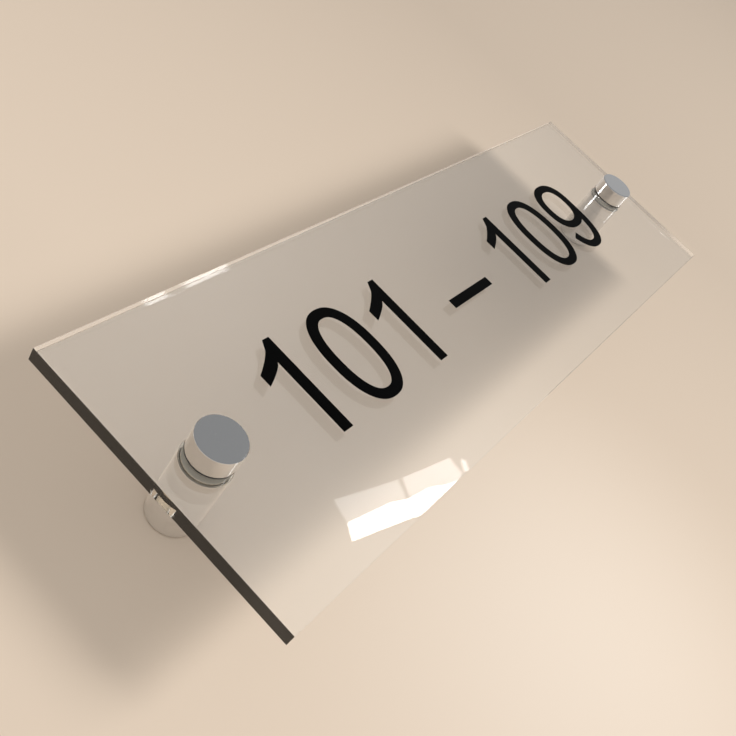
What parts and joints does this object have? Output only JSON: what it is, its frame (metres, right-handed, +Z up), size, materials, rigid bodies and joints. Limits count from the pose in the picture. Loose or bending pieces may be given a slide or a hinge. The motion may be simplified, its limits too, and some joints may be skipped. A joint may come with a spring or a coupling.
{
  "type": "wall name plate",
  "caption": "Clear acrylic wall name plate held off the wall by turned chrome standoffs, whose threaded caps unscrew to release the panel.",
  "frame": {"origin": "on the wall's surface, midway between the axes of the two standoffs", "axes": "+X along the panel in its reading direction, +Y into the wall, +Z up; the front faces -Y"},
  "size_m": [0.4, 0.0817, 0.12],
  "materials": {
    "clear_acrylic": "clear cast sheet, polished faces and edges",
    "polished_chrome": "mirror polished, faint turning marks on the end faces",
    "zinc_plated_steel": "bright zinc plate, satin",
    "black_rubber": "matt black",
    "clear_nylon": "clear, slightly milky",
    "grey_nylon": "moulded, satin",
    "black_vinyl": "cut film, satin black"
  },
  "bodies": {
    "mounted_panel": {"panel": "clear_acrylic", "left_barrel": "polished_chrome", "left_wall_screw": "zinc_plated_steel", "left_wall_plug": "grey_nylon", "left_rear_washer": "clear_nylon", "left_hole_sleeve": "clear_nylon", "right_barrel": "polished_chrome", "right_wall_screw": "zinc_plated_steel", "right_wall_plug": "grey_nylon", "right_rear_washer": "clear_nylon", "right_hole_sleeve": "clear_nylon"},
    "left_washer": {"left_front_washer": "black_rubber"},
    "left_cap": {"left_cap": "polished_chrome", "left_stud": "zinc_plated_steel"},
    "right_washer": {"right_front_washer": "black_rubber"},
    "right_cap": {"right_cap": "polished_chrome", "right_stud": "zinc_plated_steel"}
  },
  "joints": [
    {"name": "left_cap_travel", "type": "slide", "parent": "mounted_panel", "child": "left_washer", "axis": [0, -1, 0], "range_m": [0, 0.009]},
    {"name": "left_cap_spin", "type": "hinge", "parent": "left_washer", "child": "left_cap", "pos_m": [-0.1765, -0.037, 0], "axis": [0, -1, 0], "range_deg": [0, 2160]},
    {"name": "right_cap_travel", "type": "slide", "parent": "mounted_panel", "child": "right_washer", "axis": [0, -1, 0], "range_m": [0, 0.009]},
    {"name": "right_cap_spin", "type": "hinge", "parent": "right_washer", "child": "right_cap", "pos_m": [0.1765, -0.037, 0], "axis": [0, -1, 0], "range_deg": [0, 2160]}
  ],
  "couplings": [
    {"joint": "left_cap_spin", "follows": "left_cap_travel", "rad_per_m": 4188.8},
    {"joint": "right_cap_spin", "follows": "right_cap_travel", "rad_per_m": 4188.8}
  ]
}
